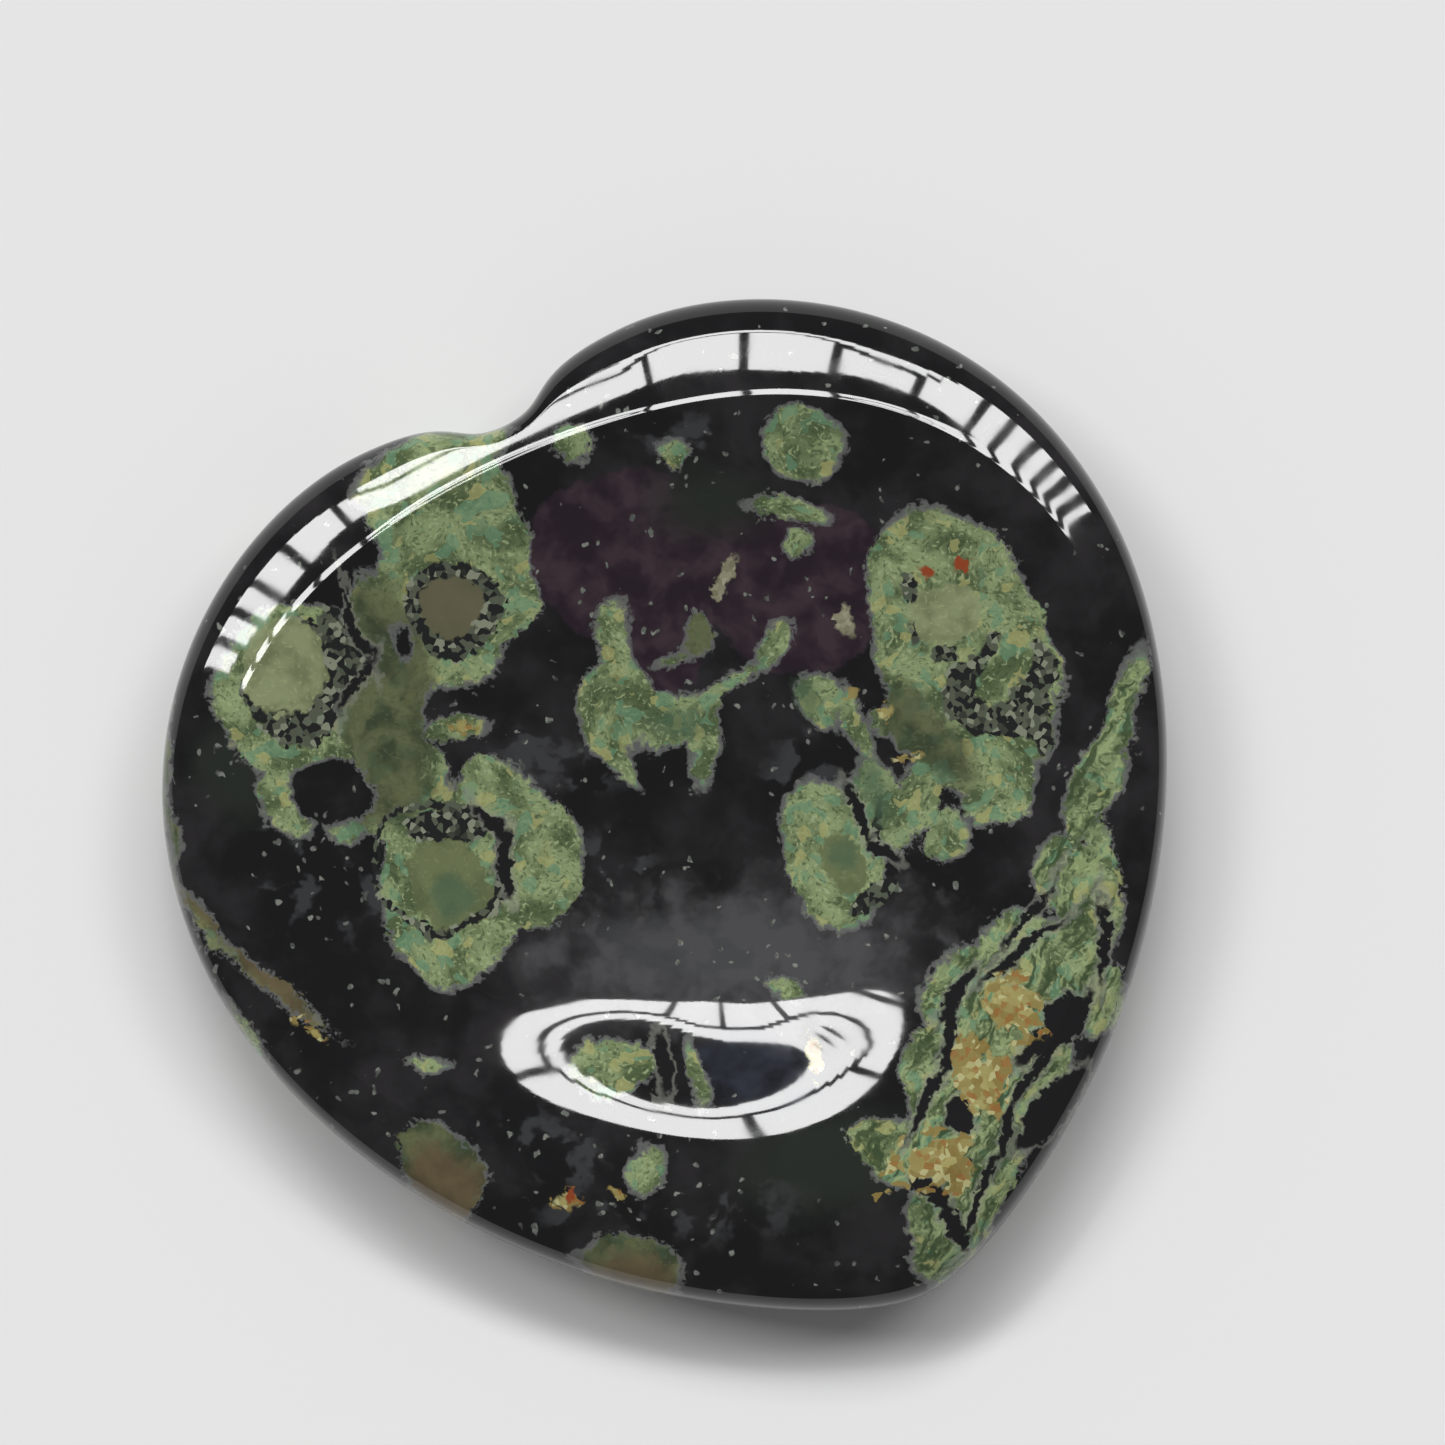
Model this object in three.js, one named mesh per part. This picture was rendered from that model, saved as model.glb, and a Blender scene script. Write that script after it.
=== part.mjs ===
// Heart-shaped worry stone of polished kambaba jasper, cut from one piece of rock.
// A worry stone is held between finger and thumb: the thumb rubs in a shallow dish that is ground
// into the top. The stone lies on its flat base, its notch points along +Y, its tip along -Y, and the
// origin is the middle of the base. All lengths are in millimetres.
import * as THREE from 'three';

// Heart outline, right half, seen from above. Each reach is how far the curve follows its direction.
const NOTCH_Y = 18.55;
const NOTCH_REACH = 2.2;
const LOBE_TOP = new THREE.Vector2(5.8, 20.05);
const LOBE_REACH_IN = 4.4;
const LOBE_REACH_OUT = 5.9;
const WIDEST = new THREE.Vector2(20.3, 4.15);
const WIDEST_REACH_UP = 10.5;
const WIDEST_REACH_DOWN = 4.3;
const FLANK = new THREE.Vector2(11.9, -13.35);
const FLANK_DIRECTION = THREE.MathUtils.degToRad(-135.8);
const FLANK_REACH_IN = 9.0;
const FLANK_REACH_OUT = 4.2;
const TIP_Y = -20.05;
const TIP_REACH = 3.0;

// Heights above the base. The land is the polished slope between the side and the dish.
const GIRTH_HEIGHT = 4.5; // where the stone is widest
const LAND_SLOPE = 0.33; // rise of the land at its outer edge for each millimetre inwards
const LAND_EASING = 0.019; // the land flattens inwards, as a share of the distance squared
const SHOULDER_RISE = 1.4; // rounding of the land into the side
const SHOULDER_SHARE = 0.36; // how much of the land's width the rounding takes
const SHOULDER_LEAST = 0.6;
const SHOULDER_MOST = 2.0;
const LAND_WIDTH = 3.9; // over the lobes
const BROW_HEIGHT = GIRTH_HEIGHT + SHOULDER_RISE + landRise(LAND_WIDTH);
const DISH_DEPTH = 2.77;
const DISH_FLOOR = BROW_HEIGHT - DISH_DEPTH;

// Roundings: 2 is an ellipse, and more is squarer.
const SHOULDER_SQUARENESS = 2.2;
const BASE_SQUARENESS = 2.3;
const BASE_INSET = 2.4; // from the widest outline in to the flat base

// The dish: its deepest point, and its edge, the brow, as a round drawn out of shape.
const DISH_BOTTOM = new THREE.Vector2(-0.72, -2.16);
const ROUND_RADIUS = 17.6; // near its bottom the dish is round
const BROW_RADIUS = 16.92;
const BROW_TO_LOBES = 3.82; // shift of the edge towards the lobes
const BROW_TO_RIGHT = 0.99; // the hand-ground dish is a little off the middle
const BROW_OVAL = -0.25;
const BROW_SKEW = -0.46;
const BROW_HEART = -1.11; // three-cornered, like the heart, but with no notch
const BROW_TWIST = -0.17;
const BROW_SQUARE = -0.12;
const BROW_DIP_POWER = 6; // how close to the edge the dish follows the brow's ups and downs
const CRISP_DIRECTION = THREE.MathUtils.degToRad(20.7); // where the edge is crispest, from +Y towards +X
const CRISP_POWER = 3; // how narrow the eased stretch on the far side is
const EASED_SPREAD = 0.835; // below 1 the eased wall starts nearer to the bottom

// Fineness of the facets.
const POINTS_PER_CURVE = [8, 18, 20, 10]; // half outline: notch, lobe, side, tip
const DISH_RINGS = 15;
const LAND_RINGS = 9;
const SIDE_RINGS = 7;

const JASPER = { color: 0x1d2120, roughness: 0.08, metalness: 0 };

// Points of the right half of the outline, from the notch to the tip.
function halfOutline() {
  const flankWay = new THREE.Vector2(Math.cos(FLANK_DIRECTION), Math.sin(FLANK_DIRECTION));
  const notch = new THREE.Vector2(0, NOTCH_Y);
  const tip = new THREE.Vector2(0, TIP_Y);
  const curves = [
    new THREE.CubicBezierCurve(
      notch,
      new THREE.Vector2(NOTCH_REACH, NOTCH_Y),
      new THREE.Vector2(LOBE_TOP.x - LOBE_REACH_IN, LOBE_TOP.y),
      LOBE_TOP,
    ),
    new THREE.CubicBezierCurve(
      LOBE_TOP,
      new THREE.Vector2(LOBE_TOP.x + LOBE_REACH_OUT, LOBE_TOP.y),
      new THREE.Vector2(WIDEST.x, WIDEST.y + WIDEST_REACH_UP),
      WIDEST,
    ),
    new THREE.CubicBezierCurve(
      WIDEST,
      new THREE.Vector2(WIDEST.x, WIDEST.y - WIDEST_REACH_DOWN),
      FLANK.clone().addScaledVector(flankWay, -FLANK_REACH_IN),
      FLANK,
    ),
    new THREE.CubicBezierCurve(
      FLANK,
      FLANK.clone().addScaledVector(flankWay, FLANK_REACH_OUT),
      new THREE.Vector2(TIP_REACH, TIP_Y),
      tip,
    ),
  ];
  const points = [notch];
  curves.forEach((curve, i) => points.push(...curve.getSpacedPoints(POINTS_PER_CURVE[i]).slice(1)));
  return points;
}

// The whole outline, anticlockwise from the notch: the left half is the right half's mirror image.
function heartOutline() {
  const right = halfOutline();
  const left = right.map((p) => new THREE.Vector2(-p.x, p.y));
  return [...left, ...right.slice(1, -1).reverse()];
}

// How far the brow lies from the dish's deepest point, in a direction from +Y towards +X.
function browReach(angle) {
  return (
    BROW_RADIUS +
    BROW_TO_LOBES * Math.cos(angle) +
    BROW_TO_RIGHT * Math.sin(angle) +
    BROW_OVAL * Math.cos(2 * angle) +
    BROW_SKEW * Math.sin(2 * angle) +
    BROW_HEART * Math.cos(3 * angle) +
    BROW_TWIST * Math.sin(3 * angle) +
    BROW_SQUARE * Math.cos(4 * angle)
  );
}

// How much the land has risen at a distance in from its outer edge.
function landRise(distance) {
  return LAND_SLOPE * distance - LAND_EASING * distance ** 2;
}

// How far the notch cuts in behind the straight line over both lobes. The land is ground before the
// notch is, so it takes no notice of it.
function notchDepth(point) {
  const between = Math.abs(point.x) < LOBE_TOP.x && point.y > 0;
  return between ? LOBE_TOP.y - point.y : 0;
}

// Height of the land and shoulder at a distance in from the outline.
function landHeight(inset, spoke) {
  const share = Math.max(0, 1 - inset / spoke.shoulder);
  const rounding = (1 - share ** SHOULDER_SQUARENESS) ** (1 / SHOULDER_SQUARENESS);
  return GIRTH_HEIGHT + landRise(inset + spoke.notch) + SHOULDER_RISE * rounding;
}

// One spoke runs from the dish's deepest point out to a point of the outline, over the brow.
function spokeTo(point) {
  const out = point.clone().sub(DISH_BOTTOM);
  const angle = Math.atan2(out.x, out.y);
  const girth = out.length();
  const brow = browReach(angle);
  const away = 0.5 - 0.5 * Math.cos(angle - CRISP_DIRECTION);
  const spoke = {
    way: out.normalize(),
    girth,
    brow,
    notch: notchDepth(point),
    shoulder: THREE.MathUtils.clamp(SHOULDER_SHARE * (girth - brow), SHOULDER_LEAST, SHOULDER_MOST),
    crispness: 1 - away ** CRISP_POWER,
  };
  spoke.girthHeight = landHeight(0, spoke);
  spoke.browHeight = landHeight(girth - brow, spoke);
  return spoke;
}

// How far out on a spoke the dish has got at a share q of its way from bottom to brow.
function dishReach(q, spoke) {
  return q * (ROUND_RADIUS + (spoke.brow - ROUND_RADIUS) * q);
}

// Height in the dish at a share q of the way. Towards the lobes the dish is a plain bowl with a
// crisp edge, and towards the tip its wall eases into the land.
function dishHeight(q, spoke) {
  const bowl = q ** 2;
  const p = q ** EASED_SPREAD;
  const eased = 35 * p ** 4 - 84 * p ** 5 + 70 * p ** 6 - 20 * p ** 7;
  const rise = spoke.crispness * bowl + (1 - spoke.crispness) * eased;
  const dip = (spoke.browHeight - BROW_HEIGHT) * q ** BROW_DIP_POWER;
  return DISH_FLOOR + (BROW_HEIGHT - DISH_FLOOR) * rise + dip;
}

// The rings of the stone from the deepest point of the dish to the edge of the base. Each ring
// says how far out it lies on a spoke and how high.
function ringProfile() {
  const rings = [];
  for (let i = 1; i <= DISH_RINGS; i++) {
    const q = i / DISH_RINGS;
    rings.push((spoke) => ({ reach: dishReach(q, spoke), height: dishHeight(q, spoke) }));
  }
  for (let i = 1; i <= LAND_RINGS; i++) {
    const inner = 1 - Math.sin((i / LAND_RINGS) * (Math.PI / 2));
    rings.push((spoke) => {
      const inset = inner * (spoke.girth - spoke.brow);
      return { reach: spoke.girth - inset, height: landHeight(inset, spoke) };
    });
  }
  for (let i = 1; i <= SIDE_RINGS; i++) {
    const turn = (i / SIDE_RINGS) * (Math.PI / 2);
    const inset = BASE_INSET * (1 - Math.cos(turn) ** (2 / BASE_SQUARENESS));
    const share = i === SIDE_RINGS ? 0 : 1 - Math.sin(turn) ** (2 / BASE_SQUARENESS);
    rings.push((spoke) => ({ reach: spoke.girth - inset, height: spoke.girthHeight * share }));
  }
  return rings;
}

// One closed skin: a fan at the dish's deepest point, bands between rings, and a fan on the base.
function stoneGeometry() {
  const spokes = heartOutline().map(spokeTo);
  const rings = ringProfile();
  const count = spokes.length;
  const positions = [DISH_BOTTOM.x, DISH_BOTTOM.y, DISH_FLOOR];
  for (const ring of rings) {
    for (const spoke of spokes) {
      const { reach, height } = ring(spoke);
      positions.push(DISH_BOTTOM.x + spoke.way.x * reach, DISH_BOTTOM.y + spoke.way.y * reach, height);
    }
  }
  positions.push(DISH_BOTTOM.x, DISH_BOTTOM.y, 0);

  const index = [];
  const at = (ring, i) => 1 + ring * count + (i % count);
  const last = rings.length - 1;
  const baseMiddle = 1 + rings.length * count;
  for (let i = 0; i < count; i++) {
    index.push(0, at(0, i), at(0, i + 1));
    for (let ring = 0; ring < last; ring++) {
      index.push(at(ring, i), at(ring + 1, i), at(ring + 1, i + 1));
      index.push(at(ring, i), at(ring + 1, i + 1), at(ring, i + 1));
    }
    index.push(baseMiddle, at(last, i + 1), at(last, i));
  }
  const geometry = new THREE.BufferGeometry();
  geometry.setAttribute('position', new THREE.Float32BufferAttribute(positions, 3));
  geometry.setIndex(index);
  geometry.computeVertexNormals();
  return geometry;
}

// The stone itself, the only piece.
function worryStone() {
  const stone = new THREE.Mesh(stoneGeometry(), new THREE.MeshStandardMaterial(JASPER));
  stone.name = 'stone';
  return stone;
}

const object = new THREE.Group();
object.add(worryStone());

export default object;
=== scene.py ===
# %% [markdown]
# # A worry stone of polished kambaba jasper
# A worry stone is a flat palm stone with a shallow dish that the thumb rubs in. This one is a heart,
# cut from one piece of rock and polished all over, so it is a single piece here too. The measured
# solid is loaded first and stays the frame: the finished stone takes its place at the same size.

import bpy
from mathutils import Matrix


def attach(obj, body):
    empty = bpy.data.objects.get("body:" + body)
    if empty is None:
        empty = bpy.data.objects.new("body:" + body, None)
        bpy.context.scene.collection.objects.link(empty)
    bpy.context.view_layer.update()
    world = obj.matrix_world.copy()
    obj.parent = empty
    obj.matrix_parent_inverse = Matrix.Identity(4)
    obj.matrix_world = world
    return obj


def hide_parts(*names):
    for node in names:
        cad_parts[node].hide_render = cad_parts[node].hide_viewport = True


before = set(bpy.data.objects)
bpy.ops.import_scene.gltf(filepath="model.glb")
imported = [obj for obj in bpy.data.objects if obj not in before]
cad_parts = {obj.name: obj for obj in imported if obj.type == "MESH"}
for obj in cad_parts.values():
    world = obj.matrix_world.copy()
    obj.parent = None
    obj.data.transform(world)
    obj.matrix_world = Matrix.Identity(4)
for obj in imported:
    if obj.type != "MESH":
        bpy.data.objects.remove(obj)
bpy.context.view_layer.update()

# %% The other modules, and one clean start
import math

import bmesh
import bpy
from mathutils import Matrix, Vector

MM = 0.001
PHOTO_TURN = math.radians(25.9)  # the heart's notch leans this far to the left in the photo


def select_nothing():
    """Operators act on all that is selected, so each piece starts from an empty selection."""
    if bpy.context.mode != "OBJECT":
        bpy.ops.object.mode_set(mode="OBJECT")
    bpy.ops.object.select_all(action="DESELECT")


select_nothing()

# %% [markdown]
# ## The heart outline
# Seen from above, the heart is the same on both sides. Four curves draw the right half, from the notch
# over the lobe and the widest point down to the tip. A curve like this has two ends and two handles,
# and the handles say which way it leaves an end and how far it follows that way. They are the same
# curves as in the measured solid, so the finished stone has its outline exactly.

# %% Outline curves
NOTCH = Vector((0, 18.55)) * MM
NOTCH_REACH = 2.2 * MM
LOBE_TOP = Vector((5.8, 20.05)) * MM
LOBE_REACH_IN = 4.4 * MM
LOBE_REACH_OUT = 5.9 * MM
WIDEST = Vector((20.3, 4.15)) * MM
WIDEST_REACH_UP = 10.5 * MM
WIDEST_REACH_DOWN = 4.3 * MM
FLANK = Vector((11.9, -13.35)) * MM
FLANK_DIRECTION = math.radians(-135.8)
FLANK_REACH_IN = 9.0 * MM
FLANK_REACH_OUT = 4.2 * MM
TIP = Vector((0, -20.05)) * MM
TIP_REACH = 3.0 * MM
POINTS_PER_CURVE = (24, 54, 60, 30)
FINE_STEPS = 400  # for measuring a curve's length


def curve_point(ends, t):
    """A point of a cubic curve from its end, handle, handle, end."""
    s = 1 - t
    a, b, c, d = ends
    return a * s**3 + b * 3 * s * s * t + c * 3 * s * t * t + d * t**3


def even_points(ends, count):
    """Points at even distances along a curve, without its first."""
    fine = [curve_point(ends, i / FINE_STEPS) for i in range(FINE_STEPS + 1)]
    lengths = [0.0]
    for before, after in zip(fine, fine[1:]):
        lengths.append(lengths[-1] + (after - before).length)
    points = []
    at = 0
    for i in range(1, count + 1):
        wanted = lengths[-1] * i / count
        while at < FINE_STEPS - 1 and lengths[at + 1] < wanted:
            at += 1
        share = (wanted - lengths[at]) / (lengths[at + 1] - lengths[at])
        points.append(fine[at].lerp(fine[at + 1], share))
    return points


def heart_outline():
    """The outline's points, once round from the notch: the right half, then its mirror image."""
    along = Vector((math.cos(FLANK_DIRECTION), math.sin(FLANK_DIRECTION)))
    right, up = Vector((1, 0)), Vector((0, 1))
    curves = (
        (NOTCH, NOTCH + right * NOTCH_REACH, LOBE_TOP - right * LOBE_REACH_IN, LOBE_TOP),
        (LOBE_TOP, LOBE_TOP + right * LOBE_REACH_OUT, WIDEST + up * WIDEST_REACH_UP, WIDEST),
        (WIDEST, WIDEST - up * WIDEST_REACH_DOWN, FLANK - along * FLANK_REACH_IN, FLANK),
        (FLANK, FLANK + along * FLANK_REACH_OUT, TIP + right * TIP_REACH, TIP),
    )
    half = [NOTCH]
    for ends, count in zip(curves, POINTS_PER_CURVE):
        half += even_points(ends, count)
    left = [Vector((-p.x, p.y)) for p in reversed(half[1:-1])]
    return half + left


outline = heart_outline()
print("outline points:", len(outline))

# %% [markdown]
# ## Heights of the top
# The side rounds over a shoulder into the land, a polished slope that climbs to the brow, the edge of
# the dish. The notch is ground in last, so the land runs on over it as if it were not there. The dish
# is ground by hand against a round wheel, so it is rounder than the heart: near its bottom it is a
# plain bowl, and only its edge is drawn towards the lobes. Towards the lobes the edge is crisp, and
# towards the tip the wall eases into the land. A polished stone shows such differences more than
# anything else, because they bend every reflection, so the form comes from formulas and not from a
# rough mesh that is smoothed afterwards.

# %% Land and shoulder
GIRTH_HEIGHT = 4.5 * MM
LAND_SLOPE = 0.33
LAND_EASING = 0.019 / MM  # the land flattens inwards, as a share of the distance squared
LAND_WIDTH = 3.9 * MM
SHOULDER_RISE = 1.4 * MM
SHOULDER_SHARE = 0.36
SHOULDER_LEAST = 0.6 * MM
SHOULDER_MOST = 2.0 * MM
SHOULDER_SQUARENESS = 2.2


def land_rise(distance):
    """How much the land has risen at a distance in from its outer edge."""
    return LAND_SLOPE * distance - LAND_EASING * distance**2


def notch_depth(end):
    """How far the notch cuts in behind the straight line over both lobes."""
    between = abs(end.x) < LOBE_TOP.x and end.y > 0
    return LOBE_TOP.y - end.y if between else 0.0


BROW_HEIGHT = GIRTH_HEIGHT + SHOULDER_RISE + land_rise(LAND_WIDTH)
print("brow over the lobes, mm:", round(BROW_HEIGHT / MM, 3))

# %% Dish
DISH_BOTTOM = Vector((-0.72, -2.16)) * MM
DISH_DEPTH = 2.77 * MM
DISH_FLOOR = BROW_HEIGHT - DISH_DEPTH
ROUND_RADIUS = 17.6 * MM  # near its bottom the dish is round
BROW_RADIUS = 16.92  # this and the shifts of the brow are in mm
BROW_TO_LOBES = 3.82  # shift of the edge towards the lobes
BROW_TO_RIGHT = 0.99
BROW_OVAL = -0.25
BROW_SKEW = -0.46
BROW_HEART = -1.11  # three-cornered, like the heart, but with no notch
BROW_TWIST = -0.17
BROW_SQUARE = -0.12
BROW_DIP_POWER = 6  # how close to the edge the dish follows the brow's ups and downs
CRISP_DIRECTION = math.radians(20.7)
CRISP_POWER = 3
EASED_SPREAD = 0.835
LIP_HEIGHT = 0.017 * MM  # the wheel leaves a hair-thin ridge along the crisp edge
LIP_WIDTH = 0.17 * MM
NO_PULL = 1e-9  # a smaller pull towards the brow counts as none


def brow_reach(angle):
    """How far the brow lies from the dish's deepest point, in a direction from +Y towards +X."""
    waves = (
        BROW_RADIUS
        + BROW_TO_LOBES * math.cos(angle)
        + BROW_TO_RIGHT * math.sin(angle)
        + BROW_OVAL * math.cos(2 * angle)
        + BROW_SKEW * math.sin(2 * angle)
        + BROW_HEART * math.cos(3 * angle)
        + BROW_TWIST * math.sin(3 * angle)
        + BROW_SQUARE * math.cos(4 * angle)
    )
    return waves * MM


def crispness(angle):
    """1 where the dish meets the land in an edge, 0 where its wall eases into the land."""
    away = 0.5 - 0.5 * math.cos(angle - CRISP_DIRECTION)
    return 1 - away**CRISP_POWER


def way_share(reach, brow):
    """The share q of the way from the dish's bottom to the brow, at a distance from the bottom."""
    pull = brow - ROUND_RADIUS
    if abs(pull) < NO_PULL:
        return reach / ROUND_RADIUS
    return (math.sqrt(ROUND_RADIUS**2 + 4 * pull * reach) - ROUND_RADIUS) / (2 * pull)


def dish_height(q, crisp, brow_height):
    """Height in the dish at a share q of the way from its bottom to the brow."""
    bowl = q**2
    p = q**EASED_SPREAD
    eased = 35 * p**4 - 84 * p**5 + 70 * p**6 - 20 * p**7
    rise = crisp * bowl + (1 - crisp) * eased
    dip = (brow_height - BROW_HEIGHT) * q**BROW_DIP_POWER
    return DISH_FLOOR + (BROW_HEIGHT - DISH_FLOOR) * rise + dip


# %% Spokes
class Spoke:
    """A line from the dish's deepest point, over the brow, out to the outline."""

    def __init__(self, end):
        out = end - DISH_BOTTOM
        angle = math.atan2(out.x, out.y)
        self.way = out.normalized()
        self.girth = out.length
        self.brow = brow_reach(angle)
        self.crisp = crispness(angle)
        self.notch = notch_depth(end)
        self.shoulder = SHOULDER_SHARE * (self.girth - self.brow)
        self.shoulder = min(max(self.shoulder, SHOULDER_LEAST), SHOULDER_MOST)
        self.girth_height = self.land_height(0)
        self.brow_height = self.land_height(self.girth - self.brow)

    def land_height(self, inset):
        """Height of the land and shoulder at a distance in from the outline."""
        share = max(0, 1 - inset / self.shoulder)
        rounding = (1 - share**SHOULDER_SQUARENESS) ** (1 / SHOULDER_SQUARENESS)
        return GIRTH_HEIGHT + land_rise(inset + self.notch) + SHOULDER_RISE * rounding

    def height(self, reach):
        """Height of the top at a distance from the deepest point."""
        lip = LIP_HEIGHT * self.crisp * math.exp(-(((reach - self.brow) / LIP_WIDTH) ** 2))
        if reach < self.brow:
            return dish_height(way_share(reach, self.brow), self.crisp, self.brow_height) + lip
        return self.land_height(self.girth - reach) + lip

    def point(self, reach, height):
        return Vector((DISH_BOTTOM.x + self.way.x * reach, DISH_BOTTOM.y + self.way.y * reach, height))


spokes = [Spoke(end) for end in outline]
print("narrowest land, mm:", round(min(s.girth - s.brow for s in spokes) / MM, 2))

# %% [markdown]
# ## The stone
# A circle is the start: its points move out to the brow, one to a spoke. Extruding that ring again and
# again gives a new ring each time, which is then set in its place on the spokes: inwards down the
# dish, and outwards over the land, the shoulder and the side to the base. Rings lie close together
# where the form turns fast. A ring that shrinks to a point would pinch the reflections in the middle
# of the dish, so the last ring there is filled with a grid of squares instead.

# %% Ring places
DISH_RINGS = 64
LAND_RINGS = 30
SIDE_RINGS = 22
LIP_STEP = 0.05 * MM
LIP_STEPS = 8
GRID_SHARE = 0.22  # inside this share of the way the dish is a grid
RING_CROWDING = 0.12  # rings lie a little closer near the brow
BASE_INSET = 2.4 * MM
BASE_SQUARENESS = 2.3
LIP_REACH = LIP_STEPS * LIP_STEP


def dish_rings():
    """Distances on a spoke for each ring from the brow down into the dish."""
    for i in range(1, LIP_STEPS + 1):
        yield lambda s, i=i: s.brow - i * LIP_STEP
    for i in range(1, DISH_RINGS + 1):
        left = 1 - (1 - GRID_SHARE) * i / DISH_RINGS
        yield lambda s, left=left: (s.brow - LIP_REACH) * (left + RING_CROWDING * left * (1 - left))


def land_rings():
    """Distances on a spoke for each ring from the brow out to the widest outline."""
    for i in range(1, LIP_STEPS + 1):
        yield lambda s, i=i: s.brow + i * LIP_STEP
    for i in range(1, LAND_RINGS + 1):
        inner = 1 - math.sin(i / LAND_RINGS * math.pi / 2)
        yield lambda s, inner=inner: s.girth - inner * (s.girth - s.brow - LIP_REACH)


def side_rings():
    """Distance in from the outline and share of the girth's height, from the girth to the base."""
    for i in range(1, SIDE_RINGS + 1):
        turn = i / SIDE_RINGS * math.pi / 2
        inset = BASE_INSET * (1 - max(0, math.cos(turn)) ** (2 / BASE_SQUARENESS))
        share = 0.0 if i == SIDE_RINGS else 1 - math.sin(turn) ** (2 / BASE_SQUARENESS)
        yield inset, share


# %% Extrude and place
def place_newest(stone, position):
    """Sets each point of the newest ring, which comes last in the mesh, by its spoke."""
    mesh = bmesh.from_edit_mesh(stone.data)
    spoke_of = mesh.verts.layers.int["spoke"]
    mesh.verts.ensure_lookup_table()
    for vertex in mesh.verts[-len(spokes):]:
        vertex.co = position(spokes[vertex[spoke_of]])


def start_ring():
    """A circle with one point for each spoke, moved out to the brow."""
    bpy.ops.mesh.primitive_circle_add(vertices=len(spokes), radius=ROUND_RADIUS, fill_type="NOTHING")
    stone = bpy.context.object
    stone.name = "polished_stone"
    bpy.ops.object.mode_set(mode="EDIT")
    bpy.ops.mesh.select_mode(type="VERT")
    mesh = bmesh.from_edit_mesh(stone.data)
    spoke_of = mesh.verts.layers.int.new("spoke")
    for i, vertex in enumerate(mesh.verts):
        vertex[spoke_of] = i
    place_newest(stone, lambda s: s.point(s.brow, s.height(s.brow)))
    return stone


def select_first_ring(stone):
    """Selects the brow, the ring that the rest was extruded from."""
    bpy.ops.mesh.select_all(action="DESELECT")
    mesh = bmesh.from_edit_mesh(stone.data)
    mesh.verts.ensure_lookup_table()
    for vertex in mesh.verts[:len(spokes)]:
        vertex.select = True
    mesh.select_flush(True)


def extrude_rings(stone, reaches):
    """One extruded ring for each distance, set on the top's surface."""
    for reach in reaches:
        bpy.ops.mesh.extrude_edges_move()
        place_newest(stone, lambda s: s.point(reach(s), s.height(reach(s))))


stone = start_ring()
extrude_rings(stone, dish_rings())
print("points with the dish:", len(bmesh.from_edit_mesh(stone.data).verts))

# %% Fill the middle of the dish
GRID_SPAN = len(spokes) // 4


def fill_with_grid(stone, height):
    """Fills the selected ring with a grid of squares and sets the squares' heights."""
    before = len(bmesh.from_edit_mesh(stone.data).verts)
    bpy.ops.mesh.fill_grid(span=GRID_SPAN)
    mesh = bmesh.from_edit_mesh(stone.data)
    mesh.verts.ensure_lookup_table()
    for vertex in mesh.verts[before:]:
        vertex.co.z = height(vertex.co)
    bmesh.update_edit_mesh(stone.data)
    print("points in the grid:", len(mesh.verts) - before)


def grid_height(place):
    """Height in the dish at a place near its middle, where the brow's ups and downs don't reach."""
    out = Vector((place.x, place.y)) - DISH_BOTTOM
    angle = math.atan2(out.x, out.y)
    return dish_height(way_share(out.length, brow_reach(angle)), crispness(angle), BROW_HEIGHT)


fill_with_grid(stone, grid_height)

# %% Land, shoulder, side and base
select_first_ring(stone)
extrude_rings(stone, land_rings())
for inset, share in side_rings():
    bpy.ops.mesh.extrude_edges_move()
    place_newest(stone, lambda s: s.point(s.girth - inset, s.girth_height * share))
fill_with_grid(stone, lambda place: 0.0)
bpy.ops.mesh.select_all(action="SELECT")
bpy.ops.mesh.normals_make_consistent(inside=False)
bpy.ops.object.mode_set(mode="OBJECT")
bpy.ops.object.shade_smooth()
triangles = sum(len(p.vertices) - 2 for p in stone.data.polygons)
print("faces:", len(stone.data.polygons), "triangles:", triangles)

# %% [markdown]
# ## Kambaba jasper
# Kambaba jasper is a near-black rock full of green orbs, and the polish lays their cross-sections
# open. The markings run through the whole stone, so they are one recipe of nodes in the stone's own
# space, and the sides and the back are cut from the same rock. Each mark is an egg-shaped body with a
# place and a size, and noise gnaws at its skin until it looks grown.
#
# A photo laid over the top would be quicker, but it would smear on the sides, and it would carry the
# reflections of one day with it; only two of them are painted into the black below, a blue spot and a
# milky haze in the dish. First come the tools: arithmetic on sockets, and a few colours.

# %% Shader values
class Shade:
    """A socket of the material. Arithmetic on it adds Math nodes to the material's tree."""

    tree = None

    def __init__(self, socket):
        self.socket = socket

    @classmethod
    def node(cls, kind, settings, inputs, output=0):
        """Adds a node, sets it up and feeds its sockets. Returns one of its outputs."""
        node = cls.tree.nodes.new(kind)
        for name, value in settings.items():
            setattr(node, name, value)
        for name, value in inputs.items():
            if isinstance(value, Shade):
                cls.tree.links.new(value.socket, node.inputs[name])
            else:
                node.inputs[name].default_value = value
        return cls(node.outputs[output])

    def __add__(self, other):
        return calculate("ADD", self, other)

    def __sub__(self, other):
        return calculate("SUBTRACT", self, other)

    def __rsub__(self, other):
        return calculate("SUBTRACT", other, self)

    def __mul__(self, other):
        return calculate("MULTIPLY", self, other)

    __radd__ = __add__
    __rmul__ = __mul__


def calculate(operation, *values):
    return Shade.node("ShaderNodeMath", {"operation": operation}, dict(enumerate(values)))


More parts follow.
